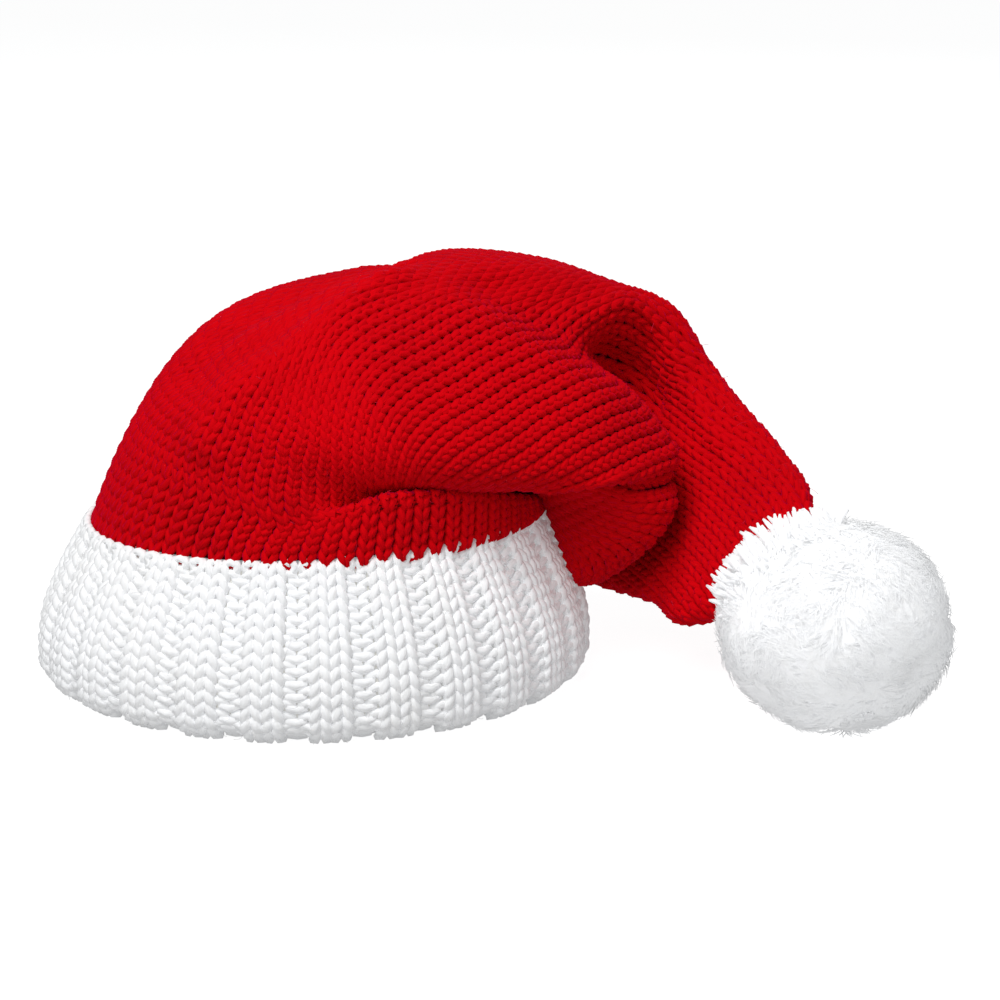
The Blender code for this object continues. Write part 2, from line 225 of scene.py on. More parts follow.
def yarn_material(name, colour, shade, sheen_tint, sheen, ply_length, hair_scale, bump, glow=0.0):
    """Soft matt yarn: plies twisted round each other, fine hairs along them, and a little
    unevenness of colour from place to place."""
    material = bpy.data.materials.new(name)
    material.use_nodes = True
    nodes, links = material.node_tree.nodes, material.node_tree.links
    shader = nodes["Principled BSDF"]
    shader.inputs["Roughness"].default_value = 0.85
    shader.inputs["Specular IOR Level"].default_value = 0.03
    shader.inputs["Sheen Weight"].default_value = sheen
    shader.inputs["Sheen Roughness"].default_value = 0.35
    # White fibres pass light on to each other; a faint glow stands for that
    shader.inputs["Emission Color"].default_value = glow_tint
    shader.inputs["Emission Strength"].default_value = glow
    shader.inputs["Sheen Tint"].default_value = (*sheen_tint, 1)
    uv = nodes.new("ShaderNodeUVMap")
    uv.uv_map = "yarn"
    split = nodes.new("ShaderNodeSeparateXYZ")
    links.new(uv.outputs["UV"], split.inputs["Vector"])
    # The plies: a wave that winds round the yarn as it runs along it
    along = nodes.new("ShaderNodeMath")
    along.operation = "MULTIPLY"
    along.inputs[1].default_value = 2 * math.pi / ply_length
    links.new(split.outputs["X"], along.inputs[0])
    round_ = nodes.new("ShaderNodeMath")
    round_.operation = "MULTIPLY_ADD"
    round_.inputs[1].default_value = 2 * math.pi * 3
    links.new(split.outputs["Y"], round_.inputs[0])
    links.new(along.outputs["Value"], round_.inputs[2])
    wave = nodes.new("ShaderNodeMath")
    wave.operation = "SINE"
    links.new(round_.outputs["Value"], wave.inputs[0])
    # Hairs: noise drawn out along the yarn
    hair_space = nodes.new("ShaderNodeMapping")
    hair_space.inputs["Scale"].default_value = (hair_scale * 0.18, 14.0, 1.0)
    links.new(uv.outputs["UV"], hair_space.inputs["Vector"])
    hair = nodes.new("ShaderNodeTexNoise")
    hair.inputs["Scale"].default_value = 1.0
    hair.inputs["Detail"].default_value = 3.0
    links.new(hair_space.outputs["Vector"], hair.inputs["Vector"])
    place = nodes.new("ShaderNodeTexCoord")
    fuzz = nodes.new("ShaderNodeTexNoise")
    fuzz.inputs["Scale"].default_value = 900.0
    fuzz.inputs["Detail"].default_value = 2.0
    links.new(place.outputs["Object"], fuzz.inputs["Vector"])
    heights = nodes.new("ShaderNodeMath")
    heights.operation = "MULTIPLY_ADD"
    heights.inputs[1].default_value = 0.35
    links.new(wave.outputs["Value"], heights.inputs[0])
    links.new(hair.outputs["Fac"], heights.inputs[2])
    total = nodes.new("ShaderNodeMath")
    total.operation = "MULTIPLY_ADD"
    total.inputs[1].default_value = 0.8
    links.new(fuzz.outputs["Fac"], total.inputs[0])
    links.new(heights.outputs["Value"], total.inputs[2])
    relief = nodes.new("ShaderNodeBump")
    relief.inputs["Strength"].default_value = bump
    relief.inputs["Distance"].default_value = 0.0005
    links.new(total.outputs["Value"], relief.inputs["Height"])
    links.new(relief.outputs["Normal"], shader.inputs["Normal"])
    # Colour: darker streaks drawn out along the yarn, and slow drifts over the fabric
    drift = nodes.new("ShaderNodeTexNoise")
    drift.inputs["Scale"].default_value = 28.0
    links.new(place.outputs["Object"], drift.inputs["Vector"])
    mixed = nodes.new("ShaderNodeMath")
    mixed.operation = "MULTIPLY_ADD"
    mixed.inputs[1].default_value = 0.5
    links.new(drift.outputs["Fac"], mixed.inputs[0])
    links.new(hair.outputs["Fac"], mixed.inputs[2])
    ramp = nodes.new("ShaderNodeValToRGB")
    ramp.color_ramp.elements[0].position = 0.35
    ramp.color_ramp.elements[0].color = (*shade, 1)
    ramp.color_ramp.elements[1].position = 0.78
    ramp.color_ramp.elements[1].color = (*colour, 1)
    links.new(mixed.outputs["Value"], ramp.inputs["Fac"])
    links.new(ramp.outputs["Color"], shader.inputs["Base Color"])
    return material


def dressed(piece, material, slot, *nodes_replaced):
    """Gives a piece its material and its place in the hat, standing for its solids."""
    piece.data.materials.append(material)
    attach(piece, "root")
    if nodes_replaced:
        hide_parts(*nodes_replaced)


def placed(mesh, material, slot, *nodes_replaced):
    """A piece of the hat from its mesh, under the mesh's name."""
    piece = bpy.data.objects.new(mesh.name, mesh)
    bpy.context.scene.collection.objects.link(piece)
    dressed(piece, material, slot, *nodes_replaced)


def cuff_face(column, row, lift):
    """Points on the cuff's outer side and the direction out of it."""
    fine = np.linspace(0, 1, 241)
    spread = border_radius + glide(fine, profile_ups, profile_outs) * cuff_belly
    run = np.concatenate([[0], np.cumsum(np.hypot(np.diff(spread), np.diff(fine) * cuff_height))])
    share = np.interp(row / cuff_rows, run / run[-1], fine)
    angle = column_angle(column)
    step = 0.01
    radius = border_radius + glide(share, profile_ups, profile_outs) * cuff_belly
    above = border_radius + glide(np.minimum(share + step, 1), profile_ups, profile_outs) * cuff_belly
    below = border_radius + glide(np.maximum(share - step, 0), profile_ups, profile_outs) * cuff_belly
    rise = (np.minimum(share + step, 1) - np.maximum(share - step, 0)) * cuff_height
    slope = (above - below) / rise
    out_share = 1 / np.sqrt(1 + slope**2)
    outward = np.stack([out_share * np.cos(angle), out_share * np.sin(angle), -slope * out_share], -1)
    beyond = np.maximum(row / cuff_rows - 1, 0) * run[-1]
    height = share * cuff_top(angle, radius) + beyond
    points = np.stack([radius * np.cos(angle), radius * np.sin(angle), height], -1)
    return head_middle + points + lift[..., None] * outward, outward


def rib_sink(column):
    """How far the fabric lies in: the purl columns sit deep between the pairs of knit ones."""
    part = np.mod(column, columns_per_rib)
    purl = ease(1 - np.abs(part - 0.5) / 0.95)
    return purl_sink * purl


# Where the yarn's points lie on its way through a stitch, in degrees
white_leg_places = (0, 38, 62, 90, 118, 142, 180, 218, 242, 270, 298, 322)
white_unevenness = 0.05
rng = np.random.default_rng(11)
faces_of_rib = np.array([-1 if i % columns_per_rib == 0 else 1 for i in range(columns)])
rows = []
for row in range(cuff_rows):
    across, up, out = loop_path(0, columns, white_leg_slant, white_leg_height, cuff_loop_depth,
                                faces_of_rib, rng, white_unevenness, white_leg_places)
    across, up, out = across[:-1], up[:-1], out[:-1]
    if row == cuff_rows - 1:
        up = np.where(up < 0, last_row_share * up, up)
    # The fabric is worn upside down, so that the heads of the loops hang down
    place = np.clip(row + 0.5 - up, 0.0, None)
    level = ease((cuff_rows - place) / 1.3)
    lift = out * (0.3 + 0.7 * level) - cuff_set_in - belly_set_in * level - rib_sink(across) * level
    # The purl column opens a little wider than the knit ones
    across = across + purl_spread * np.sin(2 * np.pi * (across - 0.5) / columns_per_rib)
    points, outward = cuff_face(across, place, lift)
    radius_here = np.hypot(points[:, 0] - head_middle[0], points[:, 1] - head_middle[1])
    plump = 0.90 + 0.16 * np.abs(np.sin(2 * np.pi * across))
    thick = white_yarn_radius * plump * radius_here / border_radius
    rows.append((points, outward, thick, True))
cuff_mesh = yarn_mesh("cuff_rib", rows, 6)
white_yarn = yarn_material("white_cuff_yarn", white_wool, white_shade, white_sheen, sheen=0.15,
                           ply_length=white_ply_length, hair_scale=900.0, bump=0.35, glow=0.13)
placed(cuff_mesh, white_yarn, "white_rib", "cuff")


# The same white rib is turned in at the table and runs up the inside of the head opening, its
# other face to the head. It is the cuff's second layer, knitted in one with the first, and its
# rows are a little taller.
lining_rows = 12
lining_leg_slant = 0.235
lining_leg_height = 0.74
lining_loop_depth = 0.001
lining_yarn_radius = 0.0018
lining_set_out = 0.0024
lining_foot = 0.0021
lining_short = 0.006
lining_leg_places = (0, 60, 90, 120, 180, 240, 270, 300)
rows = []
for row in range(lining_rows):
    across, up, out = loop_path(0, columns, lining_leg_slant, lining_leg_height, lining_loop_depth,
                                -faces_of_rib, rng, white_unevenness, lining_leg_places)
    across, up, out = across[:-1], up[:-1], out[:-1]
    angle = column_angle(across)
    share = np.clip((row + 0.5 + up) / lining_rows, 0, 1)
    belly = glide(share, profile_ups, profile_outs) * cuff_belly
    radius = border_radius + belly - cuff_wall + lining_set_out - out
    height = lining_foot + share * (cuff_top(angle) - lining_short)
    points = head_middle + np.stack([radius * np.cos(angle), radius * np.sin(angle), height], -1)
    inward = np.stack([-np.cos(angle), -np.sin(angle), 0 * angle], -1)
    rows.append((points, inward, np.full(len(points), lining_yarn_radius), True))
lining_mesh = yarn_mesh("cuff_turned_in", rows, 3)
placed(lining_mesh, white_yarn, "white_rib")


# Between the cuff's loops the yarn's own fuzz closes the holes. It is matted white fibre, a soft
# band behind the outer layer that follows its ribs.
white_fuzz = (0.86, 0.845, 0.79)
white_fuzz_deep = (0.78, 0.76, 0.70)
fuzz_grain = 700.0
fuzz_behind = 0.0026
fuzz_behind_belly = 0.0007
fuzz_rib_share = 0.6
fuzz_back = 0.0056
fuzz_foot = 0.0006


def closed_skin(name, grid):
    """A smooth skin through a grid of points, closed on itself both round and along."""
    count, around = grid.shape[:2]
    k = np.arange(count)[:, None]
    j = np.arange(around)[None, :]
    k2, j2 = (k + 1) % count, (j + 1) % around
    quads = np.stack([k * around + j, k * around + j2, k2 * around + j2, k2 * around + j], -1)
    mesh = bpy.data.meshes.new(name)
    mesh.from_pydata(grid.reshape(-1, 3).tolist(), [], quads.reshape(-1, 4).tolist())
    mesh.polygons.foreach_set("use_smooth", np.ones(len(mesh.polygons), bool))
    mesh.validate()
    turned_outward(mesh)
    return mesh


def mottled(name, colour, deep, scale, roughness, shine, glow=0.0, low=0.35, high=0.65):
    """A material of fibres whose colour drifts between two shades. Returns its noise too."""
    material = bpy.data.materials.new(name)
    material.use_nodes = True
    nodes, links = material.node_tree.nodes, material.node_tree.links
    shader = nodes["Principled BSDF"]
    shader.inputs["Roughness"].default_value = roughness
    shader.inputs["Specular IOR Level"].default_value = shine
    shader.inputs["Emission Color"].default_value = glow_tint
    shader.inputs["Emission Strength"].default_value = glow
    place = nodes.new("ShaderNodeTexCoord")
    noise = nodes.new("ShaderNodeTexNoise")
    noise.inputs["Scale"].default_value = scale
    links.new(place.outputs["Object"], noise.inputs["Vector"])
    ramp = nodes.new("ShaderNodeValToRGB")
    ramp.color_ramp.elements[0].position = low
    ramp.color_ramp.elements[0].color = (*deep, 1)
    ramp.color_ramp.elements[1].position = high
    ramp.color_ramp.elements[1].color = (*colour, 1)
    links.new(noise.outputs["Fac"], ramp.inputs["Fac"])
    links.new(ramp.outputs["Color"], shader.inputs["Base Color"])
    return material, noise


def fuzz_and_shade_material(name, colour, deep, scale, glow=0.0):
    """Matted fibres behind the cuff's loops and in the pompom's core; in dark red, the painted shade behind
    the crown's loops.
    """
    material, noise = mottled(name, colour, deep, scale, roughness=0.95, shine=0.05, glow=glow)
    noise.inputs["Detail"].default_value = 4.0
    nodes, links = material.node_tree.nodes, material.node_tree.links
    relief = nodes.new("ShaderNodeBump")
    relief.inputs["Strength"].default_value = 0.5
    relief.inputs["Distance"].default_value = 0.0005
    links.new(noise.outputs["Fac"], relief.inputs["Height"])
    links.new(relief.outputs["Normal"], nodes["Principled BSDF"].inputs["Normal"])
    return material


# Bands run up behind the outer layer's loops and down again further in
spots = np.arange(columns * 2) / 2
bands = []
for row in np.linspace(0.2, cuff_rows + 0.05, 26):
    level = ease((cuff_rows - row) / 1.3)
    sunk = -fuzz_behind - level * (fuzz_behind_belly + fuzz_rib_share * rib_sink(spots))
    bands.append(cuff_face(spots, np.full(len(spots), row), sunk)[0])
for row in np.linspace(cuff_rows + 0.05, 0.2, 10):
    bands.append(cuff_face(spots, np.full(len(spots), row), np.full(len(spots), -fuzz_back))[0])
grid = np.array(bands)
grid[..., 2] = np.maximum(grid[..., 2], fuzz_foot)
white_matted = fuzz_and_shade_material("white_fuzz", white_fuzz, white_fuzz_deep, fuzz_grain, glow=0.10)
placed(closed_skin("cuff_fuzz", grid), white_matted, "white_rib")


# A few loose hairs of the white yarn stand out of the cuff. They are single acrylic fibres that
# the needles and wear have drawn out of the loops.
white_hair_count = 500
white_hair_longest = 0.006
white_hair_highest = 0.0016
hair_radius = 0.00007
hair_sunk = 0.0008
white_hair = (0.90, 0.90, 0.91)


def stray_hairs(points, outward, rng, longest, highest):
    """Short curved hairs that rise out of the fabric and lie down on it again."""
    hairs = []
    t = np.linspace(0, 1, 5)[:, None]
    for point, normal in zip(points, outward):
        way = unit(np.cross(normal, rng.normal(size=3)))
        aside = np.cross(normal, way)
        length = longest * (0.4 + 0.6 * rng.random())
        curl = length * 0.5 * rng.normal()
        rise = highest * (0.4 + 0.6 * rng.random()) * np.sin(np.pi * 0.8 * t) - hair_sunk
        path = point + length * t * way + curl * t**2 * aside + rise * normal
        outward_here = np.broadcast_to(normal + 0.01 * aside, path.shape)
        hairs.append((path, outward_here, np.full(len(t), hair_radius), False))
    return hairs


def hair_material(name, colour):
    """A single fine fibre of the yarn."""
    deep = tuple(0.8 * value for value in colour)
    return mottled(name, colour, deep, 60.0, roughness=0.7, shine=0.15, low=0.0, high=1.0)[0]


hair_columns = rng.random(white_hair_count) * columns
hair_rows = rng.random(white_hair_count) * (cuff_rows - 0.6) + 0.3
hair_points, hair_out = cuff_face(hair_columns, hair_rows, -rib_sink(hair_columns))
hairs = stray_hairs(hair_points, hair_out, rng, white_hair_longest, white_hair_highest)
hairs_mesh = yarn_mesh("cuff_hairs", hairs, 3)
placed(hairs_mesh, hair_material("white_hair", white_hair), "white_rib")


# The crown is the red part of the hat, knitted in one tube of plain stockinette in chunky
# acrylic, its rows going on from the cuff's last row. It is soft and empty, so it slouches
# over to one side, folds over itself and lies down beside the cuff as a flat tail.
crown_rise = 0.058
crown_reach = 0.168
tail_swing = 0.052
crown_radius = 0.083
pompom_height = 0.0755
hair_gap = 0.0003
drape_gap = 0.0015
crown_wall = 0.003
crown_row_pitch = 0.0048
narrowest_column = 0.0056
crown_loop_depth = 0.00145
leg_slant = 0.235
leg_height = 0.94
legs_closer = 0.035
red_yarn_radius = 0.00148
red_ply_length = 0.0065
red_set_in = 0.0018
column_relief = 0.0007
border_draw = 0.22
red_unevenness = 0.06
own_strip_weight = 0.5
twist_line = [
    # along  degrees round the crown
    (0.00, 0.0),
    (0.14, 2.0),
    (0.20, 4.0),
    (0.25, 6.0),
    (0.29, 10.0),
    (0.33, 24.0),
    (0.37, 46.0),
    (0.41, 68.0),
    (0.45, 82.0),
    (0.50, 92.0),
    (0.55, 99.0),
    (0.60, 105.0),
    (0.70, 109.0),
    (0.85, 116.0),
    (1.00, 120.0),
]
red_wool = (0.64, 0.0006, 0.004)
red_deep = (0.40, 0.0006, 0.004)
red_sheen = (1.0, 0.0, 0.14)
section_columns = ("along", "across", "swing", "rise", "pitch", "yaw", "roll",
                   "front", "back", "outer", "inner", "square")
# Middles are shares of the reach, the swing and the rise; angles are in degrees; the spans to
# the front, back, outer and inner side are shares of the crown's radius
sections = [
    # along across swing  rise  pitch yaw roll front  back  outer  inner square
    (0.00, 0.018, 0.00, 0.000, -2.5, -25, 0, 1.012, 1.012, 1.012, 1.012, 2.0),
    (0.08, 0.028, 0.00, 0.330, 8, -25, 0, 1.005, 0.965, 0.852, 0.985, 2.0),
    (0.20, 0.097, 0.06, 0.705, 31, -25, 0, 0.965, 0.905, 0.712, 0.740, 2.0),
    (0.32, 0.216, 0.10, 0.890, 52, -25, 0, 0.940, 0.845, 0.562, 0.560, 2.1),
    (0.42, 0.347, 0.06, 0.985, 72, -25, 0, 0.845, 0.770, 0.516, 0.480, 2.1),
    (0.51, 0.505, -0.12, 0.935, 87, -27, -2, 0.625, 0.600, 0.490, 0.470, 2.1),
    (0.57, 0.602, -0.33, 0.760, 98, -24, -5, 0.300, 0.435, 0.530, 0.620, 2.0),
    (0.64, 0.682, -0.45, 0.540, 106, -22, -9, 0.190, 0.335, 0.612, 0.600, 2.0),
    (0.73, 0.752, -0.33, 0.370, 112, -34, -15, 0.170, 0.265, 0.525, 0.615, 2.0),
    (0.82, 0.816, -0.06, 0.235, 114, -45, -18, 0.155, 0.215, 0.490, 0.528, 2.0),
    (0.91, 0.893, 0.34, 0.135, 116, -50, -28, 0.145, 0.180, 0.425, 0.445, 2.0),
    (0.97, 0.958, 0.75, 0.045, 118, -54, -31, 0.125, 0.150, 0.350, 0.400, 2.0),
    (1.00, 1.000, 1.00, 0.000, 118, -54, -31, 0.090, 0.105, 0.210, 0.210, 2.0),
]
# Each fold moves the cloth round one place by shares of the crown's radius. The last one lets
# the knit down at the left end of the front panel
folds = [
    # name, along, before, after, round, half, dx, dy, dz
    ("overhanging nose", 0.530, 0.300, 0.09, 350, 66, 0.700, -0.070, -0.190),
    ("under the nose", 0.520, 0.200, 0.07, 315, 40, 0.120, -0.050, 0.000),
    ("lower lobe", 0.560, 0.090, 0.09, 300, 52, 0.170, -0.280, -0.160),
    ("against the cuff", 0.555, 0.060, 0.07, 276, 40, -0.060, -0.060, -0.080),
    ("shaded valley", 0.650, 0.070, 0.16, 15, 58, -0.030, 0.150, -0.050),
    ("front panel", 0.090, 0.085, 0.06, 299, 48, 0.010, 0.000, 0.165),
    ("front panel's end", 0.095, 0.080, 0.06, 321, 25, 0.000, 0.000, 0.042),
    ("front crease", 0.150, 0.060, 0.08, 300, 42, -0.060, 0.090, 0.000),
    ("front panel let down", 0.095, 0.080, 0.06, 337, 24, 0.000, 0.012, -0.050),
]
# Ridges and troughs run along lines, and their heights are shares of the crown's radius
welts = [
    # name, along_1, round_1, along_2, round_2, spread, height
    ("dome trough", 0.366, 116, 0.366, 92, 0.120, -0.060),
    ("dome trough", 0.366, 92, 0.200, 44, 0.130, -0.050),
    ("dome ridge", 0.400, 66, 0.300, 34, 0.145, 0.036),
    ("dome ridge", 0.300, 34, 0.170, 14, 0.170, 0.036),
    ("nose crest", 0.500, 42, 0.515, 18, 0.120, 0.036),
    ("nose trough", 0.500, 66, 0.545, 34, 0.130, -0.060),
    ("tail arch", 0.545, 36, 0.600, 66, 0.110, 0.042),
    ("tail arch", 0.600, 66, 0.700, 56, 0.110, 0.042),
    ("tail arch", 0.700, 56, 0.850, 44, 0.110, 0.030),
]
# Creases too sharp for the tube's own folds, in the same measures
creases = [
    ("edge over the lower fold", 0.450, 325, 0.492, 341, 0.060, 0.030),
    ("edge over the lower fold", 0.492, 341, 0.540, 356, 0.060, 0.020),
    ("line under that edge", 0.452, 317, 0.500, 333, 0.060, -0.062),
    ("line under that edge", 0.500, 333, 0.552, 348, 0.060, -0.045),
    ("shaded valley's bed", 0.580, 32, 0.700, 29, 0.135, -0.078),
    ("sharp dome ridge", 0.412, 64, 0.362, 43, 0.085, 0.026),
    ("sharp dome ridge", 0.362, 43, 0.270, 22, 0.085, 0.028),
    ("sharp dome ridge", 0.270, 22, 0.158, 12, 0.085, 0.020),
    ("sharp dome trough", 0.405, 78, 0.366, 60, 0.085, -0.030),
    ("sharp dome trough", 0.366, 60, 0.304, 42, 0.085, -0.034),
    ("sharp dome trough", 0.304, 42, 0.208, 32, 0.085, -0.026),
]
# The crown's length and its usual half-width, both against its radius at the border
length_ratio = 4.1
usual_ratio = 0.66
welt_start = 0.05
drape_start = 0.12
tail_end_up = 0.66


def turn_from(angle, middle):
    """The signed angle in degrees from middle to angle, both round a circle."""
    return (angle - middle + 180) % 360 - 180


def folded_crown(turn, along):
    """Points of the crown before its ridges; turn is in radians round each section."""
    at = {}
    for k, name in enumerate(section_columns):
        at[name] = glide(along, [row[0] for row in sections], [row[k] for row in sections])
    pitch, yaw, roll = (np.radians(at[name]) for name in ("pitch", "yaw", "roll"))
    outward = np.stack([-np.cos(pitch) * np.cos(yaw), -np.cos(pitch) * np.sin(yaw), np.sin(pitch)], -1)
    forward = np.stack([np.sin(yaw), -np.cos(yaw), np.zeros_like(yaw)], -1)
    cos_roll, sin_roll = np.cos(roll)[..., None], np.sin(roll)[..., None]
    out_axis = cos_roll * outward + sin_roll * forward
    front_axis = cos_roll * forward - sin_roll * outward
    border = cuff_height + hair_gap
    line = border + (tail_end_up * pompom_height - border) * ease(along)
    centre = np.stack([at["across"] * crown_reach, -at["swing"] * tail_swing,
                       line + at["rise"] * crown_rise], -1)
    front, side = np.cos(turn), np.sin(turn)
    power = 2 / at["square"]
    to_front = np.where(front > 0, at["front"], at["back"]) * np.sign(front) * np.abs(front)**power
    to_side = np.where(side > 0, at["outer"], at["inner"]) * np.sign(side) * np.abs(side)**power
    points = centre + crown_radius * (to_front[..., None] * front_axis + to_side[..., None] * out_axis)
    for name, peak, before, after, middle, half, dx, dy, dz in folds:
        past = along - peak
        lengthwise = np.where(past < 0, ease(1 + past / before), ease(1 - past / after))
        sideways = ease(1 - np.abs(turn_from(np.degrees(turn), middle)) / half)
        points = points + (lengthwise * sideways)[..., None] * crown_radius * np.array([dx, dy, dz])
    return points


def welt_heights(turn, along, lines):
    """How far the ridges stand out and the troughs sink in, in metres."""
    total = np.zeros(turn.shape)
    for kind in dict.fromkeys(row[0] for row in lines):
        tallest = np.zeros(turn.shape)
        for name, along_1, round_1, along_2, round_2, spread, height in lines:
            if name != kind:
                continue
            x = (along - along_1) * length_ratio
            y = np.radians(turn_from(np.degrees(turn), round_1)) * usual_ratio
            run_x = (along_2 - along_1) * length_ratio
            run_y = math.radians(round_2 - round_1) * usual_ratio
            t = np.clip((x * run_x + y * run_y) / (run_x**2 + run_y**2), 0, 1)
            distance = np.hypot(x - t * run_x, y - t * run_y) / spread
            here = height * np.exp(-1.5 * distance**2)
            tallest = np.where(np.abs(here) > np.abs(tallest), here, tallest)
        total = total + tallest
    return crown_radius * total * ease(along / welt_start)


def rest_on_cuff(points, normal, along):
    """Where the fold hangs over the cuff and beside it, it lies against it, with room for
    its wall where the wall is on the cuff's side."""
    moved = points.copy()
    x, y, z = points[..., 0], points[..., 1], points[..., 2]
    from_axis = np.hypot(x, y)
    top = cuff_top(np.arctan2(y, x))
    radii = [border_radius + out * cuff_belly for out in profile_outs]
    facing = (x * normal[..., 0] + y * normal[..., 1]) / from_axis
    room_beside = drape_gap + crown_wall * np.clip(facing, 0, 1)
    outward = np.interp(z / top, profile_ups, radii) + room_beside - from_axis
    upward = top + drape_gap + crown_wall * np.clip(normal[..., 2], 0, 1) - z
    inside = (along > drape_start) & (outward > 0) & (upward > 0)
    beside = inside & (outward < upward)
    scale = np.where(beside, 1 + outward / from_axis, 1.0)
    moved[..., 0] = x * scale
    moved[..., 1] = y * scale
    moved[..., 2] = z + np.where(inside & ~beside, upward, 0.0)
    return moved


# The crown's face on a fine net of turns and places along it, with its outward direction
turns = np.linspace(0, 2 * np.pi, 721)
alongs = np.linspace(0, 1, 501)
net_turn, net_along = np.meshgrid(turns, alongs, indexing="ij")
net = folded_crown(net_turn, net_along)
step = 1e-3
across_way = folded_crown(net_turn + step, net_along) - folded_crown(net_turn - step, net_along)
along_way = folded_crown(net_turn, net_along + step) - folded_crown(net_turn, net_along - step)
plain_out = unit(np.cross(along_way, across_way))
net = net + welt_heights(net_turn, net_along, welts)[..., None] * plain_out
net = net + welt_heights(net_turn, net_along, creases)[..., None] * plain_out
net = rest_on_cuff(net, plain_out, net_along)
round_way = np.gradient(np.concatenate([net[-4:-1], net, net[1:4]]), axis=0)[3:-3]
net_out = unit(np.cross(np.gradient(net, axis=1), round_way))


def on_crown(turn, along, lift):
    """Points on the crown's face, lifted off it, and the outward direction there."""
    i = np.mod(turn, 2 * np.pi) / (turns[1] - turns[0])
    j = np.clip(along, 0, 1) * (len(alongs) - 1)
    i0 = np.clip(i.astype(int), 0, len(turns) - 2)
    j0 = np.clip(j.astype(int), 0, len(alongs) - 2)
    a, b = (i - i0)[..., None], (j - j0)[..., None]
    found = []
    for table in (net, net_out):
        found.append((1 - a) * (1 - b) * table[i0, j0] + a * (1 - b) * table[i0 + 1, j0]
                     + (1 - a) * b * table[i0, j0 + 1] + a * b * table[i0 + 1, j0 + 1])
    outward = unit(found[1])
    return head_middle + found[0] + lift[..., None] * outward, outward


# Rows lie partly by the mean length of the side that is seen, and partly by the length of
# each strip of the crown; columns are counted off by their true width from a line of
# stitches that winds round the crown, and run out at the seam behind
strip_run = np.concatenate([np.zeros((len(turns), 1)),
                            np.cumsum(np.linalg.norm(np.diff(net, axis=1), axis=-1), axis=1)], 1)
spread_turns = np.exp(-0.5 * (np.arange(-90, 91) / 18)**2)
spread_turns = spread_turns / spread_turns.sum()
own_share = strip_run / strip_run[:, -1:]
ringed = np.concatenate([own_share[-91:-1], own_share, own_share[1:91]])
own_share = np.stack([np.convolve(ringed[:, k], spread_turns, "valid") for k in range(len(alongs))], 1)
seen = np.cos(turns - math.radians(30)) > -0.1
mean_run = strip_run[seen].mean(axis=0)
crown_rows = int(round(mean_run[-1] / crown_row_pitch))
row_share = (1 - own_strip_weight) * mean_run[None, :] / mean_run[-1] + own_strip_weight * own_share
twist = np.radians(glide(alongs, [along for along, degrees in twist_line],
                         [degrees for along, degrees in twist_line]))
middle_turn = math.radians(bend_side - 90 - border_start) + twist
column_steps = np.linalg.norm(np.diff(net, axis=0), axis=-1)
girth = column_steps.sum(axis=0)
column_width = np.maximum(girth / columns, narrowest_column)
columns_here = girth / column_width
half_count = columns / 2
counted = np.linspace(-half_count, half_count, 781)
turn_table = np.zeros((len(counted), len(alongs)))
for k in range(len(alongs)):
    run = np.concatenate([[0], np.cumsum(column_steps[:, k])])
    twice = np.concatenate([run[:-1] - girth[k], run, run[1:] + girth[k]])
    turns_twice = np.concatenate([turns[:-1] - 2 * np.pi, turns, turns[1:] + 2 * np.pi])
    start = np.interp(middle_turn[k], turns_twice, twice)
    turn_table[:, k] = np.interp(start + counted * column_width[k], twice, turns_twice)
# The place along the crown of each row, for each turn
row_table = np.stack([np.interp(np.arange(crown_rows + 1) / crown_rows, row_share[i], alongs)
                      for i in range(len(turns))])


def from_table(table, i, j):
    """The table's value between its rows and columns."""
    i = np.clip(i, 0, table.shape[0] - 1.001)
    j = np.clip(j, 0, table.shape[1] - 1.001)
    i0, j0 = i.astype(int), j.astype(int)
    a, b = i - i0, j - j0
    return ((1 - a) * (1 - b) * table[i0, j0] + a * (1 - b) * table[i0 + 1, j0]
            + (1 - a) * b * table[i0, j0 + 1] + a * b * table[i0 + 1, j0 + 1])


def crown_place(column, row):
    """The turn and the place along the crown of a point counted in columns and rows. Each
    depends on the other, so both are found in a few steps."""
    along = row / crown_rows
    for attempt in range(8):
        turn = from_table(turn_table, (column + half_count) / (counted[1] - counted[0]),
                          along * (len(alongs) - 1))
        i = np.mod(turn, 2 * np.pi) / (turns[1] - turns[0])
        along = 0.35 * along + 0.65 * from_table(row_table, i, row)
    return turn, along


red_leg_places = (0, 42, 72, 108, 138, 180, 222, 252, 288, 318)
rng = np.random.default_rng(5)
crown_strands = []
for row in range(crown_rows):
    stitch = np.arange(-columns // 2, columns // 2)
    turn, along = crown_place(stitch + 0.5, np.full(columns, row + 0.5))
    fits = np.abs(stitch + 0.5) - 0.45 <= np.interp(along, alongs, columns_here) / 2
    # A whole row joins on itself, and a shorter one ends at the seam
    whole = fits.all()
    stitch = stitch[fits]
    if len(stitch) < 3:
        continue
    first, count = stitch[0], len(stitch)
    across, up, out = loop_path(first, count, leg_slant, leg_height, crown_loop_depth, np.ones(count),
                                rng, red_unevenness, red_leg_places, legs_closer)
    if whole:
        across, up, out = across[:-1], up[:-1], out[:-1]
    # The first row is drawn down over the cuff's edge in points
    drawn = border_draw if row == 0 else 0.0
    place = row + 0.5 + up - drawn * ease(0.5 - 0.5 * up / leg_height)
    turn, along = crown_place(across, np.clip(place, 0, crown_rows))
    below = np.minimum(place, 0) * crown_row_pitch
    out = out - red_set_in - column_relief * np.cos(2 * np.pi * across)
    points, outward = on_crown(turn, along, out - 0.25 * below)
    points[:, 2] += below
    plump = red_yarn_radius * (0.88 + 0.18 * np.abs(np.sin(2 * np.pi * across)))
    if row == 0:
        plump = plump * (1 - 0.22 * ease(-up / leg_height))
    crown_strands.append((points, outward, plump, whole))
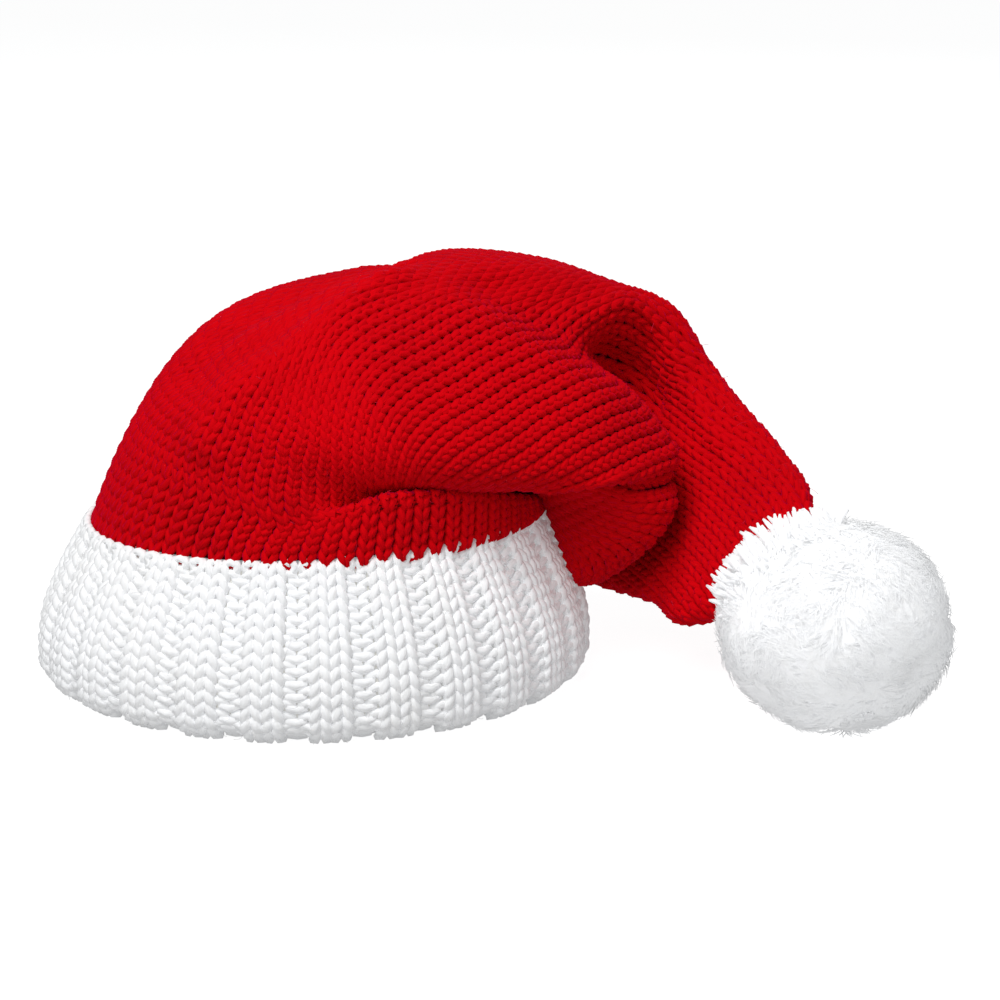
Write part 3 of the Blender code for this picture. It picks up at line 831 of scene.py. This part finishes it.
red_yarn = yarn_material("red_crown_yarn", red_wool, red_deep, red_sheen, sheen=0.3,
                         ply_length=red_ply_length, hair_scale=900.0, bump=0.35)
# The rows are shared out over four lengths of the crown; the first stands for its solid
lengths = 4
share = (len(crown_strands) + lengths - 1) // lengths
for part in range(lengths):
    mesh = yarn_mesh(f"crown_knit_{part + 1}", crown_strands[part * share:(part + 1) * share], 5)
    placed(mesh, red_yarn, "red_knit", *(["crown"] if part == 0 else []))


# Loose hairs of the red yarn stand out all over the crown. Their colour is a lighter pink than
# the yarn's: a painted sheen, for the pink they show where the light meets them from behind.
red_hair_count = 900
red_hair_longest = 0.0055
red_hair_highest = 0.0011
red_hair_painted_sheen = (0.80, 0.02, 0.07)
hair_turns = rng.random(red_hair_count) * 2 * np.pi
hair_alongs = 0.02 + 0.94 * rng.random(red_hair_count)
hair_points, hair_out = on_crown(hair_turns, hair_alongs, np.zeros(red_hair_count))
hairs = stray_hairs(hair_points, hair_out, rng, red_hair_longest, red_hair_highest)
hairs_mesh = yarn_mesh("crown_hairs", hairs, 3)
placed(hairs_mesh, hair_material("red_hair_painted_sheen", red_hair_painted_sheen), "red_knit")


# A thin red sheet closes the holes between the crown's loops, as in the cuff. Its colour, far
# darker than the yarn's, is painted shade for the shadow in the holes. It is a thin lining of
# the tube, one skin to the outside and one to the inside.
red_painted_shade = (0.16, 0.0004, 0.002)
red_painted_shade_deep = (0.08, 0.0002, 0.001)
red_shade_skin_outside = 0.0033
red_shade_skin_inside = 0.0046
round_steps = np.linspace(0, 2 * np.pi, 121)[:-1]
spots, steps_along = np.meshgrid(round_steps, np.linspace(0.0, 0.995, 100), indexing="xy")
outer_skin = on_crown(spots, steps_along, np.full(spots.shape, -red_shade_skin_outside))[0]
inner_skin = on_crown(spots, steps_along, np.full(spots.shape, -red_shade_skin_inside))[0]
grid = np.concatenate([outer_skin, inner_skin[::-1]])
grid[..., 2] = np.maximum(grid[..., 2], fuzz_foot)
red_painted_shade_material = fuzz_and_shade_material("red_painted_shade", red_painted_shade, red_painted_shade_deep, fuzz_grain)
placed(closed_skin("crown_painted_shade", grid), red_painted_shade_material, "red_knit")


# The pompom is a ball of cut ends of the cuff's yarn, tied at its middle and sewn to the
# crown's point. Its ends have fluffed out into soft fibres, and those that lie over the
# crown keep their twist.
pompom_low, pompom_high = (np.array(corner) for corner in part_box("pompom"))
pompom_middle = (pompom_low + pompom_high) / 2
pompom_half = (pompom_high - pompom_low) / 2 - np.array([0.002, 0.002, 0.0008])
tuft_count = 150
toward_crown = unit(np.array([-0.62, 0.30, 0.70]))
# The core's, the ends' and the fibres' reach are shares of the ball's half-width
core_reach = 0.91
core_bulge = 0.035
end_count = 1450
end_radius = 0.0009
end_start, end_reach = 0.84, 0.925
end_lean = 0.16
end_flare = 0.19
fluff_count = 8000
fluff_radius = 0.00017
fluff_start, fluff_reach = 0.92, 0.985
fluff_lean = 0.20
fluff_flare = 0.03
fluff_white = (0.80, 0.805, 0.82)
fluff_shade = (0.75, 0.75, 0.75)
core_shade = (0.76, 0.755, 0.75)
end_shade = (0.75, 0.75, 0.76)
fluff_glow = 0.36
end_glow = 0.28


def spread_on_ball(count, rng, uneven):
    """Directions spread evenly over a ball."""
    k = np.arange(count) + 0.5
    height = 1 - 2 * k / count
    angle = np.pi * (1 + 5**0.5) * k
    ring = np.sqrt(1 - height**2)
    ways = np.stack([ring * np.cos(angle), ring * np.sin(angle), height], -1)
    return unit(ways + rng.normal(size=ways.shape) * uneven)


rng = np.random.default_rng(23)
tufts = spread_on_ball(tuft_count, rng, 0.10)
tuft_lean = rng.normal(size=tufts.shape)
tuft_lean = unit(tuft_lean - (tuft_lean * tufts).sum(1, keepdims=True) * tufts)
tuft_lift = rng.normal(size=tuft_count)


def soft_normals(mesh, share):
    """Light falls on fine strands as on the fluff they lie in: their normals lean to the
    ball's own."""
    points = np.zeros(len(mesh.vertices) * 3)
    mesh.vertices.foreach_get("co", points)
    own = np.zeros(len(mesh.vertices) * 3)
    mesh.vertices.foreach_get("normal", own)
    ball = unit((points.reshape(-1, 3) - pompom_middle) / pompom_half**2)
    mesh.normals_split_custom_set_from_vertices(unit(own.reshape(-1, 3) * (1 - share) + ball * share))


def pompom_strands(count, spans, start, reach, lean, thick, rng, flare):
    """Yarn ends or fibres, leaning over in tufts."""
    ways = spread_on_ball(count, rng, 0.06)
    nearest = (ways @ tufts.T).argmax(axis=1)
    sideways = unit(tuft_lean[nearest] + 0.5 * rng.normal(size=ways.shape))
    sideways = unit(sideways - (sideways * ways).sum(1, keepdims=True) * ways)
    over_crown = ease((ways @ toward_crown - 0.62) / 0.22)
    end = reach + 0.018 * tuft_lift[nearest] + 0.012 * rng.normal(size=count) + flare * over_crown
    leaning = lean * (1 - 0.5 * over_crown) * (0.7 + 0.6 * rng.random(count))
    strands = []
    t = np.linspace(0, 1, spans + 1)
    for i in range(count):
        out_at = start + (end[i] - start) * t**0.85
        side_at = leaning[i] * t**1.6
        path = (out_at[:, None] * ways[i] + side_at[:, None] * sideways[i])
        size = np.linalg.norm(path, axis=1, keepdims=True)
        path = path / size * out_at[:, None]
        points = pompom_middle + path * pompom_half
        radius = thick * np.ones(spans + 1)
        radius[-1] = thick * 0.45
        outward_here = np.broadcast_to(ways[i], points.shape) + 0.01 * sideways[i][None, ::-1]
        strands.append((points, outward_here, radius, False))
    return strands


# The core bulges under each tuft
bpy.ops.object.select_all(action="DESELECT")
bpy.ops.mesh.primitive_ico_sphere_add(subdivisions=4, radius=1.0)
core = bpy.context.object
core.name = "pompom_core"
core.data.name = "pompom_core"
points = np.zeros(len(core.data.vertices) * 3)
core.data.vertices.foreach_get("co", points)
points = unit(points.reshape(-1, 3))
near = np.sort(points @ tufts.T, axis=1)
bulge = ease(np.clip((near[:, -1] - near[:, -2]) / 0.03, 0, 1))
points = pompom_middle + points * (core_reach + core_bulge * bulge)[:, None] * pompom_half
core.data.vertices.foreach_set("co", points.ravel())
bpy.ops.object.shade_smooth()
core.data.update()
core_fuzz = fuzz_and_shade_material("pompom_fuzz", fluff_white, core_shade, 500.0, glow=fluff_glow)
dressed(core, core_fuzz, "white_pompom", "pompom")

end_yarn = yarn_material("white_pompom_yarn", fluff_white, end_shade, (1.0, 1.0, 1.0), sheen=0.2,
                         ply_length=0.005, hair_scale=900.0, bump=0.25, glow=end_glow)
ends = pompom_strands(end_count, 5, end_start, end_reach, end_lean, end_radius, rng, end_flare)
ends_mesh = yarn_mesh("pompom_ends", ends, 5)
soft_normals(ends_mesh, 0.5)
placed(ends_mesh, end_yarn, "white_pompom")

fluff = pompom_strands(fluff_count, 3, fluff_start, fluff_reach, fluff_lean, fluff_radius, rng, fluff_flare)
fluff_mesh = yarn_mesh("pompom_fluff", fluff, 3)
soft_normals(fluff_mesh, 0.8)
fibre = mottled("white_fibre", fluff_white, fluff_shade, 240.0, roughness=0.9, shine=0.1, glow=fluff_glow)[0]
placed(fluff_mesh, fibre, "white_pompom")


# The hat stands on a white floor in a white room, lit softly from above, from the front and a
# little from behind. The camera looks slightly down at it from the front. The floor and the
# room are whiter to the camera than to the hat, so that little light comes up under it.
camera_distance = 1.3
camera_rise = math.radians(14.6)
camera_target = Vector(head_middle) + Vector((0.0693, 0.0, 0.0633))
frame_width = 36
widths_per_metre = 2.7
floor_size = 12
floor_glow, floor_glow_seen = 0.21, 0.66
room_glow, room_glow_seen = 0.27, 0.80


def glow_to_camera(tree, socket, plain, seen):
    """A strength that is stronger by the last number where the camera looks straight at it."""
    ray = tree.nodes.new("ShaderNodeLightPath")
    strength = tree.nodes.new("ShaderNodeMath")
    strength.operation = "MULTIPLY_ADD"
    strength.inputs[1].default_value = seen
    strength.inputs[2].default_value = plain
    tree.links.new(ray.outputs["Is Camera Ray"], strength.inputs[0])
    tree.links.new(strength.outputs["Value"], socket)


def soft_light(name, place, size, power):
    """A square soft light that looks at the hat."""
    data = bpy.data.lights.new(name, "AREA")
    data.size = size
    data.energy = power
    lamp = bpy.data.objects.new(name, data)
    lamp.location = place
    lamp.rotation_euler = (camera_target - lamp.location).to_track_quat("-Z", "Y").to_euler()
    scene.collection.objects.link(lamp)


scene = bpy.context.scene
scene.view_settings.view_transform = "Standard"
bpy.ops.object.select_all(action="DESELECT")
bpy.ops.mesh.primitive_plane_add(size=floor_size)
floor = bpy.context.object
floor.name = "floor"
floor_paint = bpy.data.materials.new("floor_paint")
floor_paint.use_nodes = True
shader = floor_paint.node_tree.nodes["Principled BSDF"]
shader.inputs["Base Color"].default_value = (0.35, 0.35, 0.35, 1)
shader.inputs["Roughness"].default_value = 0.9
shader.inputs["Specular IOR Level"].default_value = 0.0
shader.inputs["Emission Color"].default_value = (1, 1, 1, 1)
glow_to_camera(floor_paint.node_tree, shader.inputs["Emission Strength"], floor_glow, floor_glow_seen)
floor.data.materials.append(floor_paint)

room = bpy.data.worlds.new("studio")
room.use_nodes = True
air = room.node_tree.nodes["Background"]
air.inputs["Color"].default_value = glow_tint
glow_to_camera(room.node_tree, air.inputs["Strength"], room_glow, room_glow_seen)
scene.world = room

camera_data = bpy.data.cameras.new("camera")
camera_data.sensor_width = frame_width
camera_data.lens = frame_width * camera_distance * widths_per_metre
camera = bpy.data.objects.new("camera", camera_data)
scene.collection.objects.link(camera)
back = Vector((0, -math.cos(camera_rise), math.sin(camera_rise)))
camera.location = camera_target + back * camera_distance
camera.rotation_euler = (-back).to_track_quat("-Z", "Y").to_euler()
scene.camera = camera

soft_light("key_light", (-0.25, -0.50, 1.20), size=0.45, power=8.0)
soft_light("front_light", (-0.35, -1.10, 1.00), size=0.6, power=6.6)
soft_light("back_light", (0.3, 1.3, 0.9), size=0.9, power=3.5)
